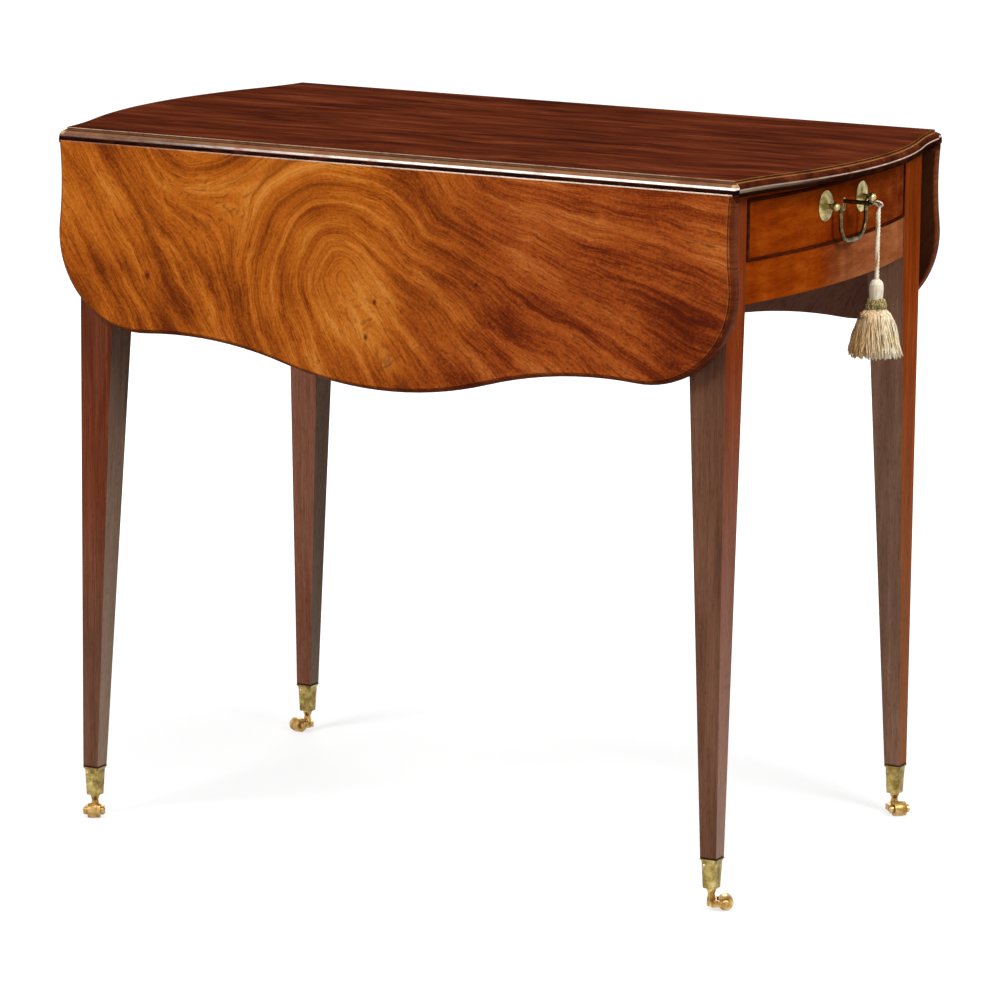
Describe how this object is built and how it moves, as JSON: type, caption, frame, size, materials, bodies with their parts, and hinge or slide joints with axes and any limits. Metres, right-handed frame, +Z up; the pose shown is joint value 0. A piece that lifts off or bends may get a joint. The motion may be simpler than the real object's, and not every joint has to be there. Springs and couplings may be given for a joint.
{
  "type": "pembroke table",
  "caption": "Drop-leaf pembroke table with serpentine mahogany leaves on rule joints, a bowed drawer with a swan-neck handle, key and tassel, and tapered legs on brass castors.",
  "frame": {"origin": "on the floor under the middle of the table top", "axes": "+Z up; +X along the leaf hinges and out of the drawer end; +Y from the front leaf to the back leaf"},
  "size_m": [0.8672, 0.491, 0.72],
  "materials": {
    "mahogany_top": "French polish",
    "mahogany_leaf": "French polish",
    "mahogany_leg": "wax polish",
    "mahogany_frieze": "French polish",
    "mahogany_bead": "French polish",
    "beech_rail": "bare, aged",
    "drawer_oak": "bare, aged",
    "steel": "dull, aged",
    "handle_brass": "aged",
    "castor_brass": "polished",
    "tassel_silk": "silk",
    "tassel_gold": "silk"
  },
  "bodies": {
    "frame": {"leg_front_right": "mahogany_leg", "leg_front_left": "mahogany_leg", "leg_back_left": "mahogany_leg", "leg_back_right": "mahogany_leg", "castor_cup_front_right": "castor_brass", "castor_cup_front_left": "castor_brass", "castor_cup_back_left": "castor_brass", "castor_cup_back_right": "castor_brass", "side_rail_front": "beech_rail", "side_rail_back": "beech_rail", "drawer_apron": "mahogany_frieze", "drawer_top_rail": "mahogany_frieze", "sham_front": "mahogany_frieze", "sham_cock_bead": "mahogany_bead", "drawer_runners": "beech_rail", "drawer_kickers": "beech_rail", "fly_hinge_block_front": "beech_rail", "fly_hinge_block_back": "beech_rail", "fly_stop_block_front": "beech_rail", "fly_stop_block_back": "beech_rail", "fly_pins": "steel", "table_top": "mahogany_top", "top_hinge_flaps": "steel", "hinge_pins": "steel", "sham_handle_rosettes": "handle_brass", "sham_handle_posts": "handle_brass"},
    "front_leaf": {"leaf_front": "mahogany_leaf", "leaf_hinge_flaps_front": "steel"},
    "back_leaf": {"leaf_back": "mahogany_leaf", "leaf_hinge_flaps_back": "steel"},
    "front_fly_bracket": {"fly_bracket_front": "beech_rail"},
    "back_fly_bracket": {"fly_bracket_back": "beech_rail"},
    "drawer": {"drawer_front": "mahogany_frieze", "drawer_side_front": "drawer_oak", "drawer_side_back": "drawer_oak", "drawer_back": "drawer_oak", "drawer_bottom": "drawer_oak", "drawer_cock_bead": "mahogany_bead", "lock_case": "handle_brass", "keyhole_liner": "handle_brass", "handle_rosettes": "handle_brass", "handle_posts": "handle_brass"},
    "drawer_bail": {"handle_bail": "handle_brass"},
    "sham_bail": {"sham_handle_bail": "handle_brass"},
    "key": {"key": "handle_brass"},
    "bolt": {"lock_bolt": "steel"},
    "tassel": {"tassel_loop": "tassel_silk", "tassel_cord": "tassel_silk", "tassel_head": "tassel_silk", "tassel_ruff": "tassel_gold", "tassel_skirt": "tassel_silk"},
    "castor_front_right": {"castor_fork_front_right": "castor_brass"},
    "wheel_front_right": {"castor_wheel_front_right": "castor_brass"},
    "castor_front_left": {"castor_fork_front_left": "castor_brass"},
    "wheel_front_left": {"castor_wheel_front_left": "castor_brass"},
    "castor_back_left": {"castor_fork_back_left": "castor_brass"},
    "wheel_back_left": {"castor_wheel_back_left": "castor_brass"},
    "castor_back_right": {"castor_fork_back_right": "castor_brass"},
    "wheel_back_right": {"castor_wheel_back_right": "castor_brass"}
  },
  "joints": [
    {"name": "front_leaf_hinge", "type": "hinge", "parent": "frame", "child": "front_leaf", "pos_m": [0, -0.2335, 0.708], "axis": [-1, 0, 0], "range_deg": [0, 90]},
    {"name": "back_leaf_hinge", "type": "hinge", "parent": "frame", "child": "back_leaf", "pos_m": [0, 0.2335, 0.708], "axis": [1, 0, 0], "range_deg": [0, 90]},
    {"name": "front_fly_swing", "type": "hinge", "parent": "frame", "child": "front_fly_bracket", "pos_m": [0.11, -0.2145, 0.65], "axis": [0, 0, 1], "range_deg": [0, 1.1]},
    {"name": "back_fly_swing", "type": "hinge", "parent": "frame", "child": "back_fly_bracket", "pos_m": [-0.11, 0.2145, 0.65], "axis": [0, 0, 1], "range_deg": [0, 1.1]},
    {"name": "drawer_slide", "type": "slide", "parent": "frame", "child": "drawer", "axis": [1, 0, 0], "range_m": [0, 0.3]},
    {"name": "drawer_bail_swing", "type": "hinge", "parent": "drawer", "child": "drawer_bail", "pos_m": [0.39326, 0, 0.674], "axis": [0, -1, 0], "range_deg": [0, 28]},
    {"name": "sham_bail_swing", "type": "hinge", "parent": "frame", "child": "sham_bail", "pos_m": [-0.39326, 0, 0.674], "axis": [0, 1, 0], "range_deg": [0, 90]},
    {"name": "key_turn", "type": "hinge", "parent": "drawer", "child": "key", "pos_m": [0.3832, 0, 0.674], "axis": [1, 0, 0], "range_deg": [0, 91]},
    {"name": "bolt_throw", "type": "slide", "parent": "drawer", "child": "bolt", "axis": [0, 0, 1], "range_m": [0, 0.006]},
    {"name": "tassel_swing", "type": "hinge", "parent": "drawer", "child": "tassel", "pos_m": [0.4202, 0, 0.674], "axis": [0, -1, 0], "range_deg": [-1.5, 25]},
    {"name": "swivel_front_right", "type": "hinge", "parent": "frame", "child": "castor_front_right", "pos_m": [0.3573, -0.2168, 0.02], "axis": [0, 0, 1], "continuous": true},
    {"name": "roll_front_right", "type": "hinge", "parent": "castor_front_right", "child": "wheel_front_right", "pos_m": [0.36958, -0.21008, 0.0078], "axis": [-0.4802, 0.8771, 0], "continuous": true},
    {"name": "swivel_front_left", "type": "hinge", "parent": "frame", "child": "castor_front_left", "pos_m": [-0.3573, -0.2168, 0.02], "axis": [0, 0, 1], "continuous": true},
    {"name": "roll_front_left", "type": "hinge", "parent": "castor_front_left", "child": "wheel_front_left", "pos_m": [-0.35058, -0.22908, 0.0078], "axis": [0.8771, 0.4802, 0], "continuous": true},
    {"name": "swivel_back_left", "type": "hinge", "parent": "frame", "child": "castor_back_left", "pos_m": [-0.3573, 0.2168, 0.02], "axis": [0, 0, 1], "continuous": true},
    {"name": "roll_back_left", "type": "hinge", "parent": "castor_back_left", "child": "wheel_back_left", "pos_m": [-0.36123, 0.20336, 0.0078], "axis": [0.9598, -0.2807, 0], "continuous": true},
    {"name": "swivel_back_right", "type": "hinge", "parent": "frame", "child": "castor_back_right", "pos_m": [0.3573, 0.2168, 0.02], "axis": [0, 0, 1], "continuous": true},
    {"name": "roll_back_right", "type": "hinge", "parent": "castor_back_right", "child": "wheel_back_right", "pos_m": [0.36727, 0.20697, 0.0078], "axis": [0.7022, 0.712, 0], "continuous": true}
  ],
  "couplings": [
    {"joint": "key_turn", "follows": "bolt_throw", "rad_per_m": 261.8}
  ]
}
